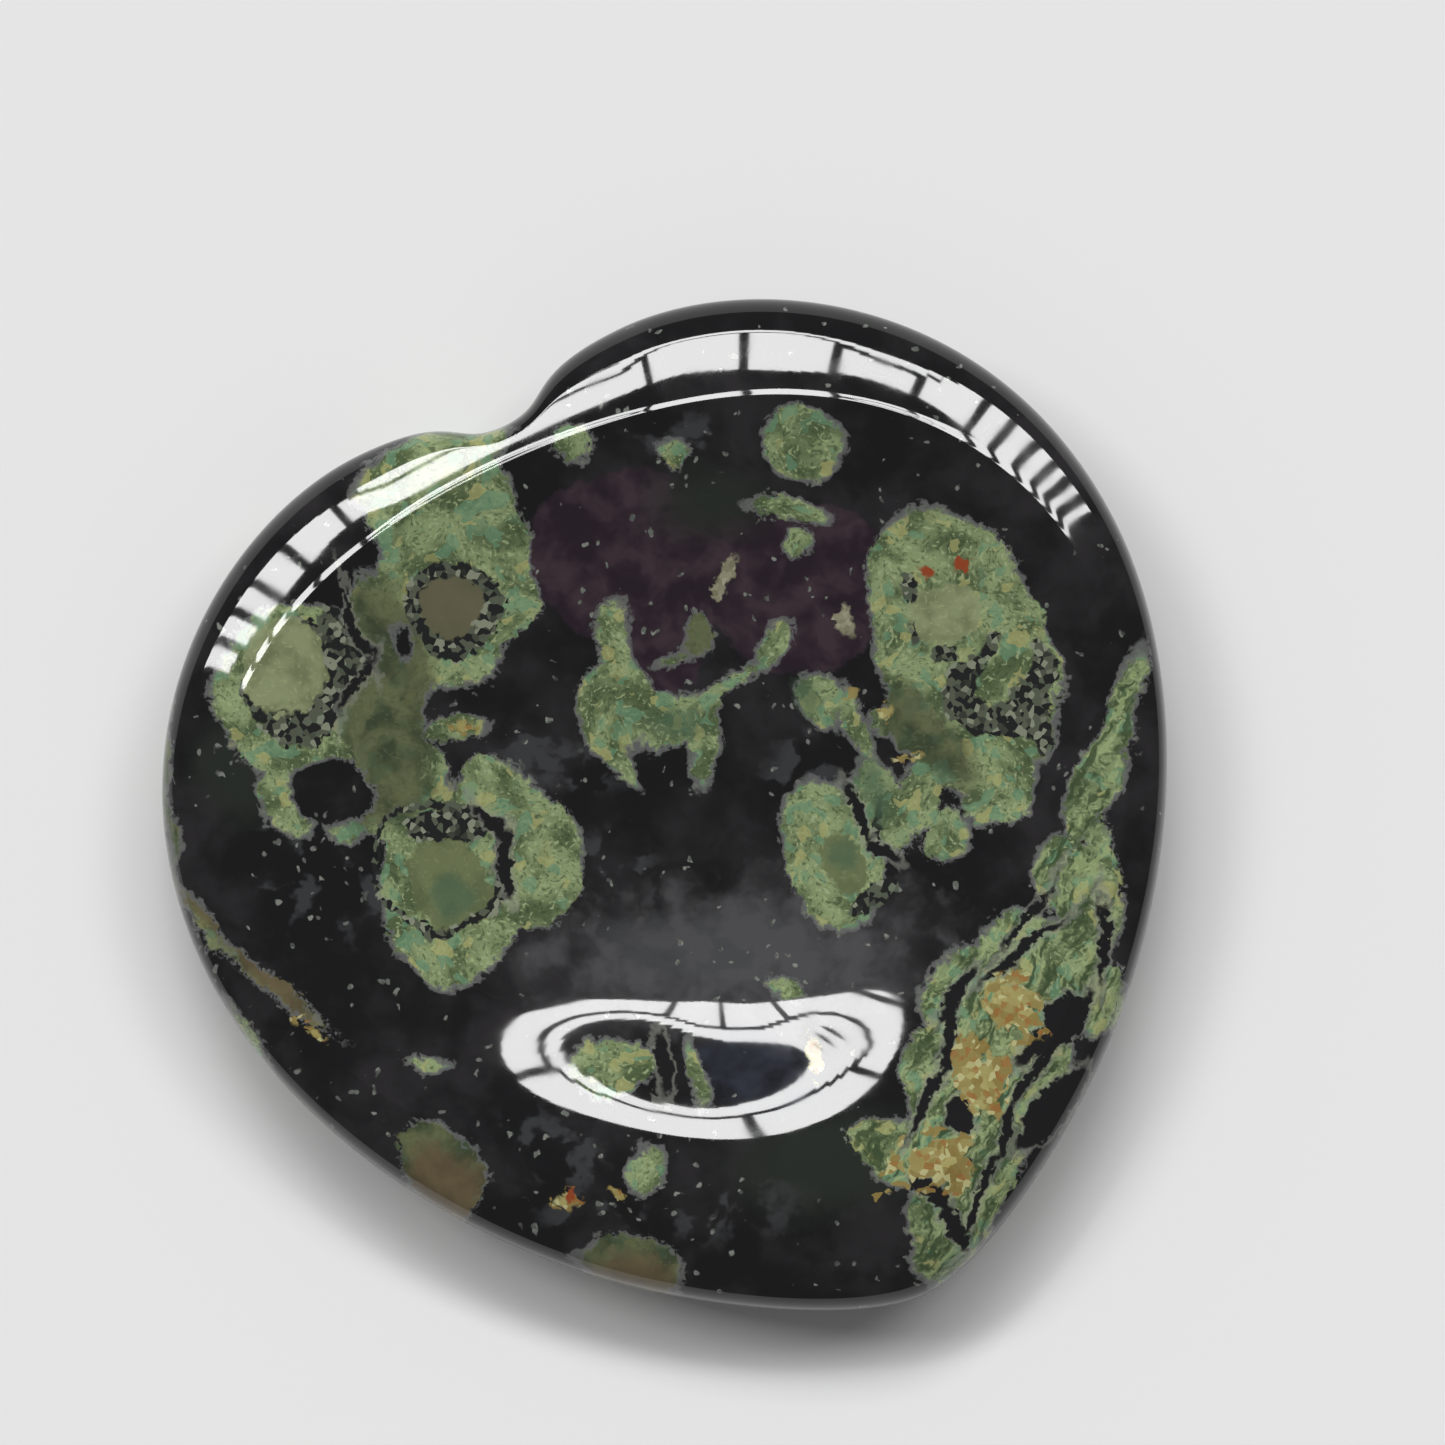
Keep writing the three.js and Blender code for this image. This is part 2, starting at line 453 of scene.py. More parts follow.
def from_to(value, low, high):
    """0 up to low, 1 from high on, and a soft step between. High may be the smaller of the two."""
    if value is FAR:
        return 0.0
    inputs = {"Value": value, "From Min": low, "From Max": high}
    return Shade.node("ShaderNodeMapRange", {"interpolation_type": "SMOOTHSTEP"}, inputs)


def paint(below, colour, share):
    """Lays a colour over another one, where the share is 1."""
    return Shade.node("ShaderNodeMix", {"data_type": "RGBA"}, {0: share, 6: below, 7: colour}, 2)


def vectors(operation, first, second):
    return Shade.node("ShaderNodeVectorMath", {"operation": operation}, {0: first, 1: second})


def seen(red, green, blue):
    """A colour as a screen shows it, 0 to 255 each, for a colour socket."""
    return tuple(((c / 255 + 0.055) / 1.055) ** 2.4 for c in (red, green, blue)) + (1.0,)


print("a dark grey in a socket:", round(seen(40, 40, 40)[0], 4))

# %% Clouds and crystals
def noise(at, size, detail=2.0, output=0):
    """Cloudy values around one half. The size is about that of a cloud, in mm."""
    inputs = {"Vector": at, "Scale": 1 / size, "Detail": detail}
    return Shade.node("ShaderNodeTexNoise", {}, inputs, output)


def crystals(at, size):
    """Cells like packed crystal grains: how far out in its cell a place lies, and each cell's colour."""
    out = Shade.node("ShaderNodeTexVoronoi", {}, {"Vector": at, "Scale": 1 / size}, "Distance")
    return out, Shade(out.socket.node.outputs["Color"])


def channel(colour, name):
    """Red, green or blue of a random colour, as a chance from 0 to 1."""
    return Shade.node("ShaderNodeSeparateColor", {}, {"Color": colour}, name)


def shifted(at, shift, amount):
    """Moves places about by a random colour."""
    middle = vectors("SUBTRACT", shift, (0.5, 0.5, 0.5))
    return vectors("ADD", at, vectors("MULTIPLY", middle, (amount,) * 3))


# %% [markdown]
# ### Bodies
# A body is an egg: a ball that is stretched along its turn, squeezed across it and stretched down into
# the stone. All that the nodes need to work out is how far a place lies from its skin. Holes are
# bodies too, and bodies that overlap grow together.
#
# A renderer works out every node of a material at every point. So the stone gets four materials, one
# for each quarter as seen from above, and each holds only the bodies that reach into its quarter.
# They share the noise and the recipe, so nothing shows where they meet.

# %% Body
FAR = 99.0  # stands for a skin that is out of reach
BODY_LEVEL = 5.0  # height in mm of the middle of every body
BODY_DEPTH = 6.0  # its half size downwards
OVERLAP = 2.6  # how far noise and neighbours can move a mark, in mm
QUARTER_MIDDLE = (2.0, -2.0)


class Body:
    """Middle, half sizes and turn. u runs to the right and v up as the photo shows the stone, in mm."""

    def __init__(self, u, v, half_u, half_v, turn=0.0):
        cos, sin = math.cos(math.radians(turn)), math.sin(math.radians(turn))
        self.long_way = Vector((cos, sin, 0.0)) / half_u
        self.short_way = Vector((-sin, cos, 0.0)) / half_v
        self.size = min(half_u, half_v)
        self.middle = Vector((u, v, 0.0))
        self.half_width = math.hypot(half_u * cos, half_v * sin)
        self.half_height = math.hypot(half_u * sin, half_v * cos)


def streak(u1, v1, u2, v2, half_width):
    """A long thin body from one place to another."""
    across, up = u2 - u1, v2 - v1
    turn = math.degrees(math.atan2(up, across))
    return Body((u1 + u2) / 2, (v1 + v2) / 2, math.hypot(across, up) / 2, half_width, turn)


# %% [markdown]
# ### Where the bodies lie
# The left has three orbs in one green mass, the middle a patch like a bat, the right a long oval with
# a second orb below it, and a vein that comes down the right side and opens into a layered wedge.

# %% Green bodies on the left
LEFT_MASS = (
    Body(-10.1, 10.3, 3.2, 4, -8), Body(-10.7, 13.7, 3, 2.48, 20),
    Body(-11.1, 15, 3.52, 1.36, 22), Body(-12.9, 6.1, 1.6, 4.8, 5),
    Body(-16.3, 6.1, 3.52, 3.6), Body(-15.1, 3.7, 3.4, 1.28), Body(-12.3, 2.1, 2, 2.4, 30),
    Body(-10.1, 4.5, 1.36, 0.52, 12), Body(-16.6, 1.7, 1.28, 1.52, 15),
    Body(-14.3, 0.8, 0.72, 0.72), Body(-10.1, -1.7, 2.88, 4, -6),
    Body(-7, -1, 2, 2.48, -10), Body(-8.3, 1.7, 1.8, 1.6, -30),
)
LEFT_HOLES = (
    Body(-14.9, 2.1, 1.84, 1.36, -20), Body(-12.5, 8.1, 0.4, 0.88),
    Body(-10, 3, 0.48, 0.88, -40), Body(-7.4, 4.7, 1.36, 0.88, 10),
)

# %% Green bodies in the middle
BAT = (
    streak(-3.6, 9.7, -3.7, 6.1, 0.72), Body(-3.7, 5.5, 1.36, 2, -8),
    streak(-4.5, 4.5, -2.9, 2.3, 0.52), Body(-2.1, 4.9, 1.68, 1.04),
    Body(-0.3, 4.9, 0.8, 1.68, 8), streak(-0.1, 4.3, -0.1, 2.4, 0.36),
    streak(-0.3, 5.5, 2.5, 7.7, 0.28), Body(2.7, 8.1, 0.56, 1, -30),
)
BAT_HOLES = (Body(-0.7, 7.7, 1.72, 1.8), Body(-2.5, 3, 0.52, 1.12, 10))
SMALL_MIDDLE = (
    Body(-0.4, 8.3, 0.6, 0.8), streak(-1.8, 7.2, -0.7, 7.7, 0.2),
    Body(3.2, 13.3, 1.52, 0.52, -10), Body(3.6, 11.9, 0.56, 0.52),
    Body(-5.3, 15.9, 0.88, 0.72), Body(-1.4, 15.5, 0.56, 0.68), Body(3.8, 16.1, 1.52, 1.4),
    Body(-3.9, -8.9, 1.6, 1.2, 10), streak(-0.7, -7.7, -0.4, -10.5, 0.36),
    Body(-2.4, -12.8, 0.8, 1.04), Body(-11.1, -8.7, 0.96, 0.32),
    Body(3.2, -5.9, 0.64, 0.36, -30),
)

# %% Green bodies on the right
OVAL = (
    Body(10.2, 8.1, 5.68, 3.44, -68), Body(11.7, 2.3, 1.36, 1.68, -30),
    Body(9.2, 4.1, 1.2, 2.8, 38),
)
RIGHT_ORB = (Body(4.9, -0.3, 3.2, 2, -72),)
CLUSTER = (
    Body(8.6, 1.9, 0.88, 1.6), Body(9.7, 0.2, 0.76, 1.12, -35),
    Body(7.1, 1.5, 0.88, 2.08, 25), Body(4.5, 5.7, 0.72, 1.12, 25),
    streak(5.1, 6.2, 6.7, 3.3, 0.4), Body(7.3, 4.9, 0.88, 0.44, 10),
    streak(5.7, 2.7, 6.5, 1.3, 0.48),
)
VEIN = (
    streak(17.2, 7.9, 15.7, 2.1, 0.6), streak(16.3, 4.5, 14.5, -0.3, 0.8),
    Body(14.5, -1.6, 1.2, 2.08, 28), Body(12.4, -4.5, 1.92, 1.84, 40),
    streak(15.5, 1.3, 15.8, -4.5, 0.52), Body(11.1, -6.7, 2.4, 2.8, 30),
    Body(10.1, -9.9, 2.48, 3, 10), Body(14.1, -4.7, 1.68, 2),
    Body(12.5, -9.5, 1.6, 3.2, -25), Body(7.5, -12.2, 1.8, 1.28, -15),
    Body(9.5, -14.9, 1.44, 2.48, -10), Body(11.1, -13.9, 0.96, 2.8, -28),
    Body(15.9, -6.3, 0.88, 1.36, -15),
)

# %% Green bodies near the rim
RIM_PATCHES = (
    Body(-10.5, -13, 2.16, 1.6, -52), Body(-3, -16.7, 2.16, 1.04, -8),
    streak(-21.7, 6.5, -21.4, -1.5, 0.28), streak(-21.1, -1.5, -19.3, -4.5, 0.28),
    streak(-19.7, -3.9, -15.1, -7.5, 0.32), streak(-19.4, -6.3, -17.3, -9.1, 0.36),
)

# %% Zones of another colour, and two painted reflections
PURPLE_ZONE = (
    Body(-2.7, 11.3, 4.72, 3.52, -8), Body(3.7, 10.3, 3.52, 3.52, 20),
    Body(-2.1, 7.7, 2, 2),
)
GREENISH_ZONE = (
    Body(4.9, -12.7, 4.4, 2.4, 5), Body(-18.5, 2.9, 1.92, 2.4), Body(0.3, 13.7, 2.8, 1.6),
)
# painted reflection: a blue tint where the window light falls in the dish near the tip
PAINTED_BLUE_REFLECTION = (Body(2.1, -9, 2.48, 1.84),)
# painted reflection: a milky haze, the dim wall above the windows mirrored in the dish above the blue spot
PAINTED_MILKY_REFLECTION = Body(1.1, -4.5, 7, 2.64, 3)
BROKEN_ZONE = (
    Body(-3.8, -0.7, 1.52, 1.28), Body(-5.9, -12.3, 2.4, 1.2, -30),
    Body(-4.7, -14.5, 2.48, 0.8, -5), Body(-16.3, -1.1, 1.8, 2.4),
    Body(-13.7, -1.5, 1.28, 2.4), Body(3.7, 2.9, 1.44, 1.6), Body(-0.3, -3.9, 4.4, 1.36),
    Body(-5.9, 3.3, 2.4, 1.04, -20), Body(0.9, -14.7, 2.8, 0.96, 10),
    Body(-0.7, 15.7, 1.6, 1.6),
)
OLIVE_ZONE = (
    Body(-12.8, 6.1, 1.68, 4.4, 5), Body(8.7, 4.3, 0.88, 2.4, 40),
    Body(-10.5, -13, 2.4, 2, -52), Body(-3, -16.7, 2.4, 1.36, -8),
    streak(-21.7, 6.5, -21.4, -1.5, 0.48), streak(-21.1, -1.5, -15.1, -7.9, 0.56),
    Body(-12.9, 2.1, 1.6, 1.6), Body(-0.4, 8.4, 0.88, 0.96),
)
TAN_ZONE = (
    Body(-10.3, -13.7, 1.84, 1.6, -52), Body(-3, -17.3, 2.16, 0.8, -8),
    streak(-21.1, -1.5, -15.1, -7.9, 0.48),
)

# %% Rings and cores
RINGS = (
    Body(-10, 9.2, 2, 1.96), Body(-16.2, 6.5, 2.4, 2.56), Body(-14.3, 8.1, 0.56, 1.76, 40),
    Body(-10.1, 0.7, 1.6, 0.8, 5), Body(8.3, 10.1, 0.32, 0.6), Body(8.4, 8.5, 0.28, 0.56),
    Body(9.5, 7.3, 0.52, 0.36), Body(11.3, 7.7, 0.56, 0.28, 40),
    Body(11.4, 5.6, 2.08, 1.6, -24), Body(13.3, 5.9, 0.56, 2.16),
    Body(6.6, -2.2, 1.2, 0.48, 28), streak(7.1, 1.7, 6.6, -0.7, 0.24),
)
THIN_RING_OUTSIDE = (Body(-10.4, -1, 2.8, 2.88),)
THIN_RING_INSIDE = (Body(-10.6, -1, 2.36, 2.44),)
ISLANDS = (
    Body(11.9, 6.5, 0.72, 1.04), Body(12.9, 8.9, 0.8, 1.2),
    Body(10.9, 2.9, 1.44, 0.56, -30), Body(10.3, 8.5, 1.04, 0.8),
)
CORES = (Body(-10.1, -1.8, 1.72, 1.8), Body(5.5, -0.7, 1.36, 0.8, -75))
LIGHT_CORES = (Body(-16.6, 6.9, 1.8, 2.08), Body(9.6, 9.1, 1.36, 1.52))
OLIVE_CORE = (Body(-10, 9.3, 1.24, 1.12),)
DARK_CORES = (
    Body(5.5, -0.3, 0.52, 0.72), Body(-1.1, 4.7, 1.04, 0.48),
    Body(6.9, 2.1, 0.56, 1.36, 20), Body(4.2, 5.7, 0.4, 0.72, 25),
    Body(-9.9, -2.3, 0.96, 1.04),
)

# %% Layers, skins and crystals
LAYERS = (
    streak(14.3, -2.9, 10.9, -5.7, 0.24), streak(13.9, -1.5, 11.7, -4.3, 0.16),
    streak(10.6, -4.9, 9.3, -7.1, 0.32), streak(9.7, -6.3, 9.3, -9.3, 0.24),
    streak(9.5, -8.7, 8, -11.7, 0.24), Body(10.2, -10.9, 0.56, 0.88, 10),
    streak(8.3, -13.1, 9.8, -14.5, 0.32), streak(9.6, -14.1, 10.1, -16.3, 0.32),
    streak(13.9, -7.9, 12.3, -10.7, 0.24), streak(12.4, -10.3, 11.7, -12.7, 0.24),
    streak(11.8, -12.2, 10.1, -15.7, 0.2), streak(15.5, -5.7, 12.4, -9, 0.48),
    streak(15.1, -8.7, 12.5, -12.3, 0.52), streak(-2.1, -7.5, -1.8, -10.1, 0.28),
    Body(14.3, -6.7, 0.88, 1.12, -40), streak(15.6, -2.3, 15.9, -5.7, 0.2),
)
CRACKS = (
    streak(5.5, 2.5, 6.6, 0.2, 0.24), streak(6.4, 0.3, 7.9, -1, 0.28),
    streak(-7.8, 0.2, -7.7, -2.3, 0.28), streak(-9.1, 1.7, -7.8, -0.3, 0.24),
    streak(-14.3, 10.2, -13.3, 7, 0.16), streak(-13.3, 7.3, -14.2, 4.9, 0.16),
)
GOLD = (
    Body(12.3, -6.7, 1.12, 1.28, 20), Body(11.1, -9.5, 1.12, 1.6, 30),
    Body(9.3, -12.7, 1.36, 1.04), Body(7.8, -12.6, 0.36, 1.04, -20),
)
SMALL_GOLD = (
    Body(-5.7, -14.2, 0.64, 0.32), Body(-3.5, -13.9, 0.32, 0.2), Body(5.6, 5.9, 0.28, 0.2),
    Body(7.4, 5, 0.4, 0.28), Body(8.3, 3.3, 0.36, 0.2), Body(-9.7, 4.5, 0.44, 0.24),
    Body(4.2, -8.5, 0.32, 0.96), Body(-15.9, -7.1, 0.2, 0.36, -40),
    Body(-15.3, -7.9, 0.36, 0.16, -30),
)
RED = (Body(10.2, 11.1, 0.36, 0.24, 20), Body(8.9, 10.9, 0.24, 0.16), Body(-5.5, -14.1, 0.28, 0.2))
CREAM = (Body(5.5, 8.9, 0.24, 0.64), Body(0.8, 10.6, 0.32, 0.96, -15), Body(0.7, 9.9, 0.4, 0.32))
green_groups = (LEFT_MASS, BAT, SMALL_MIDDLE, OVAL, RIGHT_ORB, CLUSTER, VEIN, RIM_PATCHES)
print("green bodies:", sum(len(group) for group in green_groups))

# %% [markdown]
# ### One quarter of the rock
# Noise moves the places about before the bodies are measured: a slow one bends their outlines, a
# quick one frays them, and grains of a quarter of a millimetre break the edge into crystals. What
# grew later gives way a little to what was there before. That also makes the renderer work the bodies
# out group by group, and it needs that, because it can hold only about 250 numbers at a time.

# %% Sizes of the noises
# Sizes and the moves they cause are in mm.
WANDER_SIZE, WANDER_MOVE = 2.2, 1.1
FRAY_SIZE, FRAY_MOVE = 0.45, 0.5
GRAIN_SIZE, GRAIN_MOVE = 0.24, 0.17
FACET_SIZE = 0.46
CLOUD_SIZE = 1.3
FIBRE_SIZE = 0.16
PUSH = (0.09, -0.05, 0.0)  # how a body moves aside what comes later
PUSH_REACH = 0.8
print("grain and cloud, mm:", GRAIN_SIZE, CLOUD_SIZE)


# %% Rock
class Rock:
    """The places, the noises and the skins that one quarter's nodes share."""

    def __init__(self, right, up):
        self.side, self.end = right, up  # 1 or -1 each, from the middle
        self.coordinates = Shade.node("ShaderNodeTexCoord", {}, {}, "Object")
        turned = {"Vector": self.coordinates, "Rotation": (0, 0, PHOTO_TURN), "Scale": (1 / MM,) * 3}
        self.place = Shade.node("ShaderNodeMapping", {}, turned)
        self.height = Shade.node("ShaderNodeSeparateXYZ", {}, {"Vector": self.place}, "Z")
        self.depth = calculate("MULTIPLY_ADD", self.height, 1 / BODY_DEPTH, -BODY_LEVEL / BODY_DEPTH)
        self.wander = noise(self.place, WANDER_SIZE, 0.0, "Color")
        bent = shifted(self.place, self.wander, WANDER_MOVE)
        self.bent = shifted(bent, noise(self.place, FRAY_SIZE, 1.5, "Color"), FRAY_MOVE)
        grain_colour = crystals(self.place, GRAIN_SIZE)[1]
        self.grown = shifted(self.bent, grain_colour, GRAIN_MOVE)
        self.grain = channel(grain_colour, "Red")
        self.facet_out, self.facet_colour = crystals(self.bent, FACET_SIZE)
        self.facet = channel(self.facet_colour, "Red")
        self.cloud = noise(self.bent, CLOUD_SIZE, 2.0)
        self.fibre = noise(self.bent, FIBRE_SIZE, 1.0)

    def holds(self, body):
        """True if the body reaches into this quarter."""
        across = (body.middle.x - QUARTER_MIDDLE[0]) * self.side + body.half_width
        along = (body.middle.y - QUARTER_MIDDLE[1]) * self.end + body.half_height
        return across > -OVERLAP and along > -OVERLAP

    def along(self, way):
        inputs = {0: self.grown, 1: way}
        return Shade.node("ShaderNodeVectorMath", {"operation": "DOT_PRODUCT"}, inputs, "Value")

    def skin(self, body):
        """Distance in mm from the skin of a body, less than 0 inside it."""
        at = {0: self.along(body.long_way), 1: self.along(body.short_way), 2: self.depth}
        local = Shade.node("ShaderNodeCombineXYZ", {}, at)
        middle = (body.long_way.dot(body.middle), body.short_way.dot(body.middle), 0.0)
        out = Shade.node("ShaderNodeVectorMath", {"operation": "DISTANCE"}, {0: local, 1: middle}, "Value")
        return calculate("MULTIPLY_ADD", out, body.size, -body.size)

    def nearest(self, bodies):
        """Distance from the nearest skin of some bodies."""
        return together(*(self.skin(body) for body in bodies if self.holds(body)))

    def give_way(self, skin):
        """What comes later is pushed a little aside by what is there."""
        if skin is not FAR:
            inputs = {0: from_to(skin, PUSH_REACH, 0.0), 1: PUSH, 2: self.grown}
            self.grown = Shade.node("ShaderNodeVectorMath", {"operation": "MULTIPLY_ADD"}, inputs)


def together(*skins):
    """The nearest of several skins."""
    near = [skin for skin in skins if skin is not FAR]
    nearest = near[0] if near else FAR
    for skin in near[1:]:
        nearest = calculate("MINIMUM", nearest, skin)
    return nearest


def without(skin, holes):
    """Cuts holes in a body."""
    if skin is FAR or holes is FAR:
        return skin
    return calculate("MAXIMUM", skin, 0.0 - holes)


def inside(skin, soft=0.05):
    return from_to(skin, soft, -soft)


# %% Green bodies of a quarter
def grow_green_bodies(rock):
    """The skins of all green bodies, which grow one after another."""
    rock.left_mass = without(rock.nearest(LEFT_MASS), rock.nearest(LEFT_HOLES))
    rock.give_way(rock.left_mass)
    rock.bat = without(rock.nearest(BAT), rock.nearest(BAT_HOLES))
    rock.give_way(rock.bat)
    rock.small = rock.nearest(SMALL_MIDDLE)
    rock.give_way(rock.small)
    rock.right = together(rock.nearest(OVAL), rock.nearest(RIGHT_ORB), rock.nearest(CLUSTER))
    rock.give_way(rock.right)
    rock.vein = rock.nearest(VEIN)
    rock.give_way(rock.vein)
    rock.rim = rock.nearest(RIM_PATCHES)
    rock.give_way(rock.rim)


# %% [markdown]
# ### The back
# The photo shows nothing of the sides and the back, and rock has no reason to change there. Crystal
# cells of several millimetres, each grown into an orb of its own size, go on below the top.

# %% Orbs below the top
CELL = 7.0
ORBS_END = 3.6  # heights in mm, where the orbs stop and start to stop
ORBS_FADE = 2.8
RAGGED = 2.0  # how uneven that limit is
PUSHED_OUT = 9.0  # moves a skin out of sight above it
LEAST_ORB = 0.6
ORB_SPREAD = 2.2
RING_SHARE = 0.25  # ring and core lie this share of the size inside the skin
CORE_SHARE = 0.45


def grow_deep_orbs(rock):
    """Orbs with rings and cores, well below the top only."""
    out, colour = crystals(rock.grown, CELL)
    ragged = rock.height + channel(rock.wander, "Blue") * RAGGED
    above = from_to(ragged, ORBS_FADE, ORBS_END)
    size = LEAST_ORB + channel(colour, "Red") * ORB_SPREAD
    rock.deep_orbs = out * CELL - size + above * PUSHED_OUT
    rock.deep_rings = rock.deep_orbs + size * RING_SHARE
    rock.deep_cores = rock.deep_orbs + size * CORE_SHARE
    rock.give_way(rock.deep_orbs)


# %% [markdown]
# ### The black rock
# The black isn't one black: it is dusty purple round the middle patch and green near the orbs. Two
# reflections are painted into it as well: a blue tint in one spot near the tip, where the window light
# falls in the dish, and a milky haze of the dim wall above the windows in a broad cloud above that
# spot. Loose specks of grey are strewn over it, thickest where the rock is broken.

# %% Black rock
MIST_SIZE = 4.0
# the edge of the painted milky reflection is frayed by clouds
MILKY_REFLECTION_RAGGED = 5  # how far clouds move the edge of the milky place, in mm
SPECK_LIMIT = 0.86  # above this chance a facet is a speck


def black_rock(rock):
    mist = noise(rock.place, MIST_SIZE, 1.0)
    cloudy = from_to(mist + (rock.cloud - 0.5) * 0.6, 0.35, 0.75)
    black = paint(seen(20, 20, 22), seen(42, 40, 42), cloudy)
    purple = paint(seen(40, 28, 38), seen(66, 52, 60), from_to(rock.cloud, 0.35, 0.7))
    black = paint(black, purple, inside(rock.nearest(PURPLE_ZONE), 0.12) * 0.9)
    black = paint(black, seen(38, 44, 38), from_to(rock.nearest(GREENISH_ZONE), 0.5, -1.2))
    # painted reflection: the dish near the tip is tinted blue where the window light falls
    blue = paint(seen(26, 28, 34), seen(48, 52, 62), from_to(rock.cloud, 0.3, 0.7))
    black = paint(black, blue, inside(rock.nearest(PAINTED_BLUE_REFLECTION), 0.3))
    # painted reflection: a milky haze of the dim wall above the windows, in a broad cloud above the blue
    # spot
    if rock.holds(PAINTED_MILKY_REFLECTION):
        painted_milky_reflection = from_to(rock.skin(PAINTED_MILKY_REFLECTION) + (rock.cloud - 0.5) * MILKY_REFLECTION_RAGGED, 1.3, -1.7)
        black = paint(black, seen(86, 86, 88), painted_milky_reflection * 0.85)
    return black


def with_specks(rock, black):
    """Loose grey specks, more of them where the rock is broken."""
    broken = rock.nearest(BROKEN_ZONE)
    rock.give_way(broken)
    haze = inside(broken, 0.4) * from_to(rock.cloud, 0.52, 0.62) * 0.6
    black = paint(black, seen(70, 72, 74), haze)
    chance = channel(rock.facet_colour, "Green")
    limit = SPECK_LIMIT - inside(broken, 0.6) * 0.3 - (channel(rock.wander, "Red") - 0.5) * 0.4
    speck = from_to(chance, limit, limit + 0.02) * from_to(rock.facet_out, 0.3, 0.2)
    return paint(black, paint(seen(66, 70, 66), seen(138, 142, 134), rock.grain), speck)


# %% [markdown]
# ### The green rock
# The green is a felt of fine needles: lighter and darker by the clump, bright yellow-green or teal in
# single facets, and olive where the bodies reach deeper. In the vein the needles lie side by side
# along it, so the noise there is stretched that way.

# %% Green rock
VEIN_WAY = math.radians(60)
VEIN_STRETCH = 6.0
NEEDLE_SIZE = 0.32


def felt(rock):
    """The green of most bodies."""
    green = paint(seen(84, 99, 66), seen(144, 160, 115), from_to(rock.cloud, 0.34, 0.64))
    green = paint(green, seen(168, 182, 136), from_to(rock.fibre, 0.58, 0.7) * 0.75)
    green = paint(green, seen(60, 76, 49), from_to(rock.fibre, 0.45, 0.31) * 0.65)
    green = paint(green, seen(106, 148, 116), from_to(rock.facet, 0.82, 0.86) * 0.6)
    return paint(green, seen(174, 174, 114), from_to(rock.facet, 0.1, 0.07) * 0.6)


def vein_needles(rock, green):
    """Lays needles along the vein."""
    if rock.vein is FAR:
        return green
    stretch = {"Vector": rock.bent, "Rotation": (0, 0, VEIN_WAY), "Scale": (VEIN_STRETCH, 1, 1)}
    needles = noise(Shade.node("ShaderNodeMapping", {"vector_type": "TEXTURE"}, stretch), NEEDLE_SIZE, 1.0)
    deep = from_to(rock.vein, 0.1, -0.2)
    green = paint(green, seen(58, 76, 48), from_to(needles, 0.48, 0.37) * deep * 0.85)
    return paint(green, seen(160, 176, 124), from_to(needles, 0.58, 0.66) * deep * 0.7)


def deeper_colours(rock, green):
    """Olive and tan where the green lies deeper."""
    olive_zone = rock.nearest(OLIVE_ZONE)
    olive = paint(seen(58, 68, 48), seen(92, 96, 66), from_to(rock.cloud, 0.35, 0.65))
    green = paint(green, olive, from_to(olive_zone, 0.5, -0.3) * 0.85)
    tan_zone = rock.nearest(TAN_ZONE)
    tan = paint(seen(92, 76, 56), seen(116, 98, 72), rock.cloud)
    green = paint(green, tan, from_to(tan_zone, 0.4, -0.4) * 0.8)
    rock.give_way(together(olive_zone, tan_zone))
    return green


# %% Green laid on black
def with_green(rock, black, green):
    """The green bodies in the black rock, with a thin pale skin round most of them."""
    on_top = together(rock.left_mass, rock.bat, rock.small, rock.right, rock.vein, rock.rim)
    bodies = together(on_top, rock.deep_orbs)
    skin = from_to(bodies, -0.1, -0.02) * from_to(bodies, 0.15, 0.06)
    patchy = from_to(rock.fibre + channel(rock.wander, "Green"), 0.75, 0.95)
    jasper = paint(black, green, inside(bodies, 0.03))
    return paint(jasper, seen(108, 110, 108), skin * patchy * 0.8)


# %% [markdown]
# ### Orb rings and cores
# An orb grew outwards from its core, so it is ringed: a flat green core, a broken ring of black
# grains, and the outer green. In the ring single grains of black, grey and cream lie side by side.
# The rings of these orbs lie off the middle, thicker on one side.

# %% Rings
def with_rings(rock, jasper, green):
    speckle = paint(seen(32, 33, 33), seen(88, 96, 80), from_to(rock.grain, 0.4, 0.56))
    speckle = paint(speckle, seen(138, 144, 124), from_to(rock.grain, 0.8, 0.88))
    thin_ring = without(rock.nearest(THIN_RING_OUTSIDE), rock.nearest(THIN_RING_INSIDE))
    rings = together(rock.nearest(RINGS), thin_ring, rock.deep_rings)
    jasper = paint(jasper, speckle, inside(rings, 0.04))
    rock.give_way(rings)
    islands = rock.nearest(ISLANDS)
    rock.give_way(islands)
    return paint(jasper, green, inside(islands, 0.08))


# %% Cores
def with_cores(rock, jasper):
    """Needles are fine in a core, and its middle is darker."""
    core = paint(seen(92, 103, 70), seen(112, 122, 84), from_to(rock.cloud, 0.3, 0.66))
    core = paint(core, seen(130, 140, 98), from_to(rock.fibre, 0.58, 0.72) * 0.6)
    cores = together(rock.nearest(CORES), rock.deep_cores)
    jasper = paint(jasper, core, inside(cores, 0.06))
    light = paint(seen(118, 128, 92), seen(146, 156, 116), from_to(rock.cloud, 0.34, 0.6))
    light = paint(light, seen(164, 172, 128), from_to(rock.fibre, 0.58, 0.72) * 0.6)
    jasper = paint(jasper, light, inside(rock.nearest(LIGHT_CORES), 0.06))
    olive = paint(seen(92, 92, 70), seen(112, 108, 82), rock.cloud)
    jasper = paint(jasper, olive, inside(rock.nearest(OLIVE_CORE), 0.06))
    jasper = paint(jasper, seen(78, 104, 78), inside(rock.nearest(DARK_CORES), 0.3) * 0.7)
    rock.give_way(cores)
    return jasper


